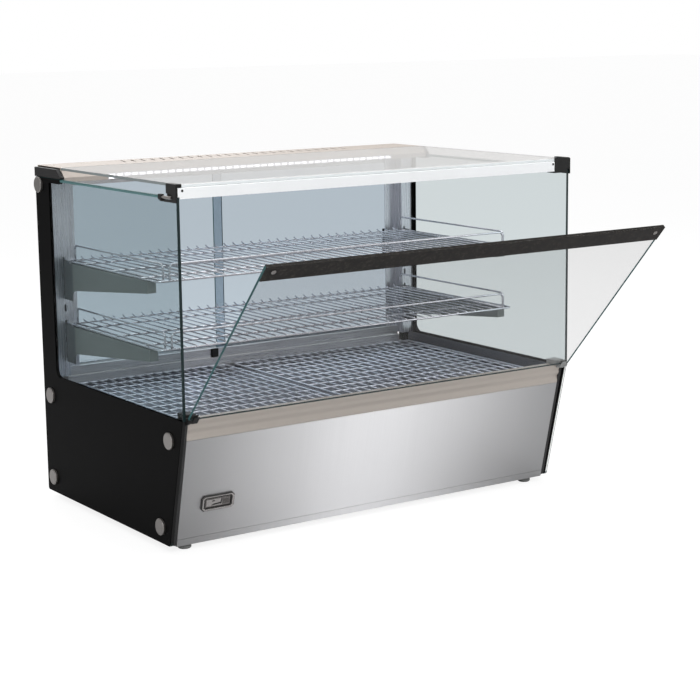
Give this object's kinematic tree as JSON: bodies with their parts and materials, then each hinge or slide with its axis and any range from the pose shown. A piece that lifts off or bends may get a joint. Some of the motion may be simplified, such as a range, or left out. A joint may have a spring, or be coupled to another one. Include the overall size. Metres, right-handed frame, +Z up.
{
  "type": "bakery display case",
  "caption": "Counter-top glass display case with a tipping front door, sliding rear doors, wire shelves on brackets and a steel base with a grid deck.",
  "frame": {"origin": "on the counter, under the middle of the case's outline with its front door open as stored", "axes": "+X to the right as seen from the front, +Y from the front to the rear, +Z up"},
  "size_m": [0.9122, 0.8784, 0.684],
  "materials": {
    "brushed_steel": "brushed",
    "lip_aluminium": "satin anodised",
    "rail_white": "satin white",
    "housing_cream": "satin",
    "bracket_grey": "satin grey",
    "chrome_wire": "polished",
    "case_glass": "clear",
    "black_print": "gloss enamel on the inside of the glass",
    "satin_nickel": "satin",
    "black_plastic": "matte",
    "grey_metal": "satin",
    "black_rubber": "matte",
    "bezel_metal": "satin chrome",
    "dark_display": "gloss",
    "led_white": "diffuser",
    "heater_steel": "dull",
    "red_rocker": "translucent red",
    "green_rocker": "translucent green"
  },
  "bodies": {
    "case": {"front_panel": "brushed_steel", "base_pan": "brushed_steel", "rear_panel": "brushed_steel", "side_liners": "brushed_steel", "well_tray": "brushed_steel", "deck_plate": "brushed_steel", "rear_sill": "brushed_steel", "left_post": "brushed_steel", "right_post": "brushed_steel", "rear_top_track": "brushed_steel", "front_lip": "lip_aluminium", "front_top_rail": "rail_white", "top_housing": "housing_cream", "upper_left_bracket": "bracket_grey", "upper_right_bracket": "bracket_grey", "lower_left_bracket": "bracket_grey", "lower_right_bracket": "bracket_grey", "left_side_glass": "case_glass", "right_side_glass": "case_glass", "top_glass": "case_glass", "left_glass_print": "black_print", "right_glass_print": "black_print", "left_standoffs": "satin_nickel", "right_standoffs": "satin_nickel", "clip_barrels": "satin_nickel", "rail_screws": "satin_nickel", "left_end_cap": "black_plastic", "right_end_cap": "black_plastic", "left_corner_clip": "black_plastic", "right_corner_clip": "black_plastic", "left_hinge_block": "black_plastic", "switch_bodies": "black_plastic", "mains_inlet": "black_plastic", "sill_guide": "black_plastic", "terminal_box": "black_plastic", "thermostat_body": "black_plastic", "right_hinge_block": "grey_metal", "edge_seals": "black_rubber", "feet": "black_rubber", "thermometer_bezel": "bezel_metal", "thermometer_lens": "dark_display", "led_strip": "led_white", "heater_elements": "heater_steel"},
    "front_door": {"door_glass": "case_glass", "door_strip": "black_plastic", "door_strip_screws": "satin_nickel", "door_shoes": "black_plastic"},
    "left_rear_slider": {"left_rear_door": "case_glass", "left_rear_handle": "black_plastic"},
    "right_rear_slider": {"right_rear_door": "case_glass", "right_rear_handle": "black_plastic"},
    "upper_shelf": {"upper_shelf_grid": "chrome_wire", "upper_shelf_rails": "chrome_wire"},
    "lower_shelf": {"lower_shelf_grid": "chrome_wire", "lower_shelf_rails": "chrome_wire"},
    "left_deck": {"left_deck_grid": "chrome_wire"},
    "right_deck": {"right_deck_grid": "chrome_wire"},
    "thermostat": {"thermostat_knob": "black_plastic"},
    "power_switch": {"power_rocker": "red_rocker"},
    "light_switch": {"light_rocker": "green_rocker"}
  },
  "joints": [
    {"name": "front_door_hinge", "type": "hinge", "parent": "case", "child": "front_door", "pos_m": [0, -0.15833, 0.261], "axis": [-1, 0, 0], "range_deg": [0, 41.9]},
    {"name": "left_rear_door_slide", "type": "slide", "parent": "case", "child": "left_rear_slider", "axis": [1, 0, 0], "range_m": [0, 0.39]},
    {"name": "right_rear_door_slide", "type": "slide", "parent": "case", "child": "right_rear_slider", "axis": [-1, 0, 0], "range_m": [0, 0.35]},
    {"name": "upper_shelf_lift", "type": "slide", "parent": "case", "child": "upper_shelf", "axis": [0, 0, 1], "range_m": [0, 0.04]},
    {"name": "lower_shelf_lift", "type": "slide", "parent": "case", "child": "lower_shelf", "axis": [0, 0, 1], "range_m": [0, 0.04]},
    {"name": "left_deck_lift", "type": "slide", "parent": "case", "child": "left_deck", "axis": [0, 0, 1], "range_m": [0, 0.015]},
    {"name": "right_deck_lift", "type": "slide", "parent": "case", "child": "right_deck", "axis": [0, 0, 1], "range_m": [0, 0.015]},
    {"name": "thermostat_turn", "type": "hinge", "parent": "case", "child": "thermostat", "pos_m": [0.15, 0.42217, 0.134], "axis": [0, -1, 0], "range_deg": [0, 270]},
    {"name": "power_switch_tilt", "type": "hinge", "parent": "case", "child": "power_switch", "pos_m": [0.22, 0.42017, 0.136], "axis": [-1, 0, 0], "range_deg": [0, 15]},
    {"name": "light_switch_tilt", "type": "hinge", "parent": "case", "child": "light_switch", "pos_m": [0.27, 0.42017, 0.136], "axis": [-1, 0, 0], "range_deg": [0, 15]}
  ]
}
